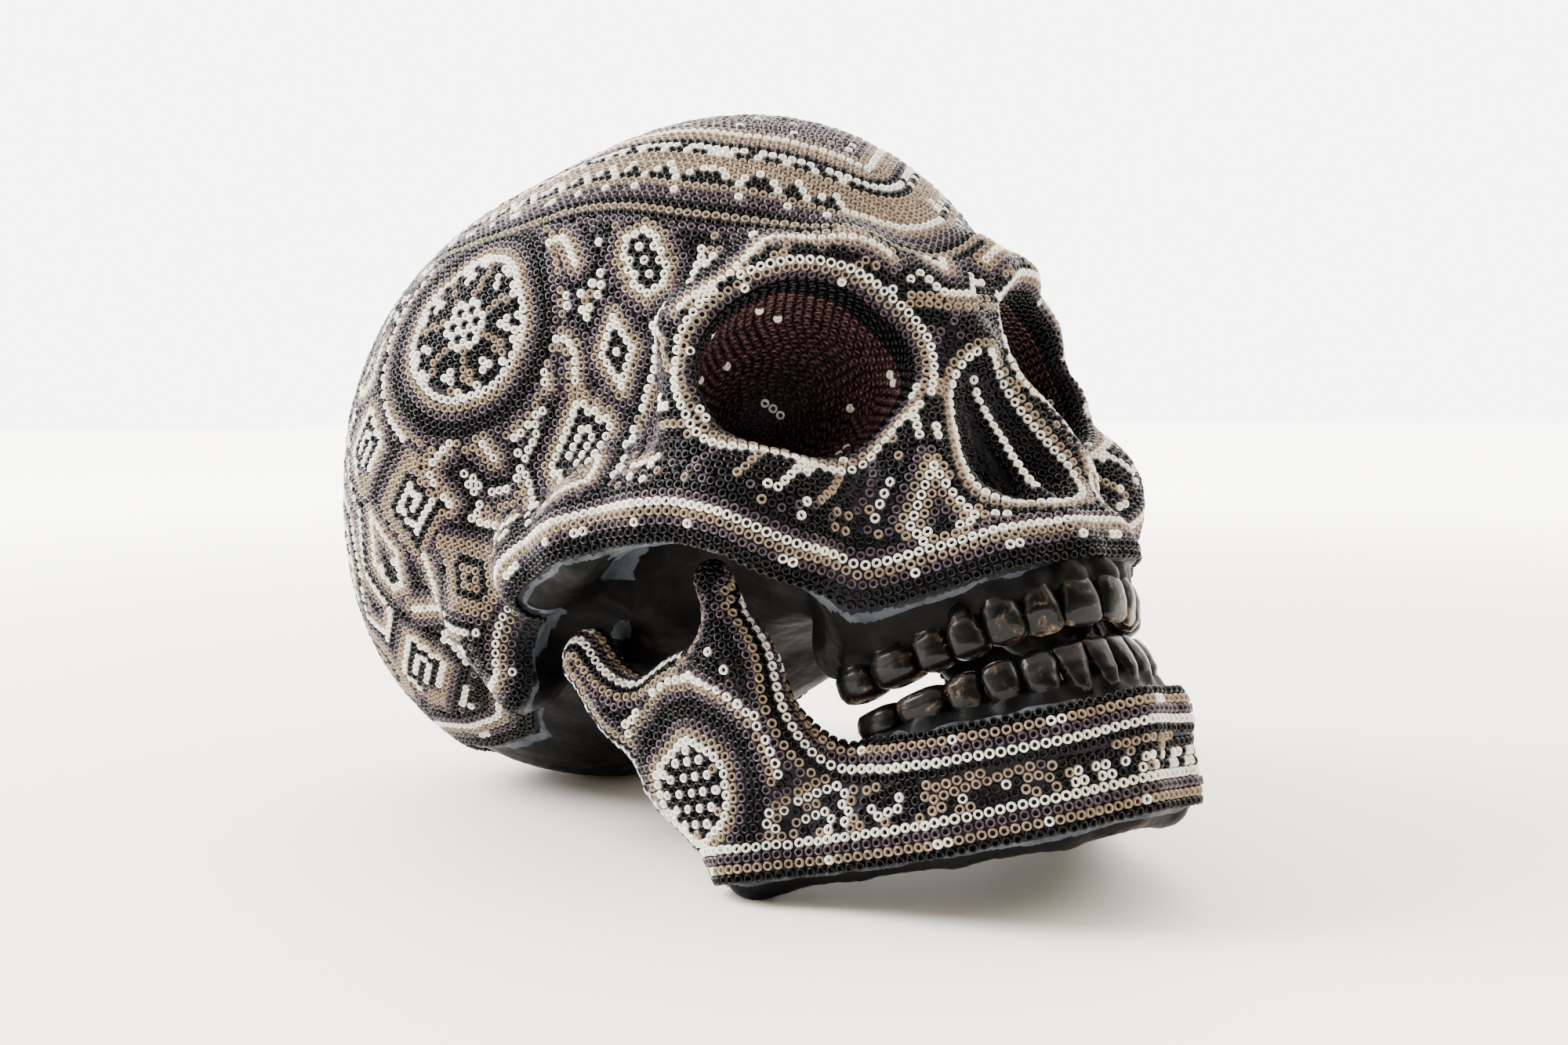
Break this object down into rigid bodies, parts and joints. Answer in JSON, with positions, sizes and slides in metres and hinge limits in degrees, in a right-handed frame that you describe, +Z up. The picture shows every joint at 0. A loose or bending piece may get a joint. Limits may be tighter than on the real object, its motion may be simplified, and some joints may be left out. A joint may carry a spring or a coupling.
{
  "type": "huichol beaded figure",
  "caption": "Life-size black resin skull that leans back at rest, its cranium and hinged jaw skinned in glass seed-bead mosaic around bare black teeth.",
  "frame": {"origin": "middle of the bounding box, on the floor plane the figure rests on", "axes": "+X to the skull's left, -Y the way the face looks, +Z up from the floor"},
  "size_m": [0.1501, 0.2469, 0.1635],
  "materials": {
    "cranium_resin": "black paint on cast resin, half gloss, with a few rubbed spots",
    "mandible_resin": "black paint on cast resin, half gloss, with a few rubbed spots",
    "cranium_beads": "opaque glass seed beads in black, purple brown, tan and white, pressed hole outwards into dark wax",
    "mandible_beads": "opaque glass seed beads in black, purple brown, tan and white, pressed hole outwards into dark wax",
    "upper_teeth": "black paint on cast resin, half gloss, rubbed to copper brown on the swells",
    "lower_teeth": "black paint on cast resin, half gloss, rubbed to copper brown on the swells",
    "jaw_pins": "plain"
  },
  "bodies": {
    "cranium": {"cranium": "cranium_resin", "cranium_bead_mosaic": "cranium_beads", "left_jaw_pin": "jaw_pins", "right_jaw_pin": "jaw_pins", "upper_left_canine": "upper_teeth", "upper_left_central_incisor": "upper_teeth", "upper_left_first_molar": "upper_teeth", "upper_left_first_premolar": "upper_teeth", "upper_left_lateral_incisor": "upper_teeth", "upper_left_second_molar": "upper_teeth", "upper_left_second_premolar": "upper_teeth", "upper_right_canine": "upper_teeth", "upper_right_central_incisor": "upper_teeth", "upper_right_first_molar": "upper_teeth", "upper_right_first_premolar": "upper_teeth", "upper_right_lateral_incisor": "upper_teeth", "upper_right_second_molar": "upper_teeth", "upper_right_second_premolar": "upper_teeth"},
    "jaw": {"mandible": "mandible_resin", "mandible_bead_mosaic": "mandible_beads", "lower_left_canine": "lower_teeth", "lower_left_central_incisor": "lower_teeth", "lower_left_first_molar": "lower_teeth", "lower_left_first_premolar": "lower_teeth", "lower_left_lateral_incisor": "lower_teeth", "lower_left_second_molar": "lower_teeth", "lower_left_second_premolar": "lower_teeth", "lower_right_canine": "lower_teeth", "lower_right_central_incisor": "lower_teeth", "lower_right_first_molar": "lower_teeth", "lower_right_first_premolar": "lower_teeth", "lower_right_lateral_incisor": "lower_teeth", "lower_right_second_molar": "lower_teeth", "lower_right_second_premolar": "lower_teeth"}
  },
  "joints": [
    {"name": "jaw_hinge", "type": "hinge", "parent": "cranium", "child": "jaw", "pos_m": [0, -0.00839, 0.04118], "axis": [1, 0, 0], "range_deg": [0, 20]}
  ]
}
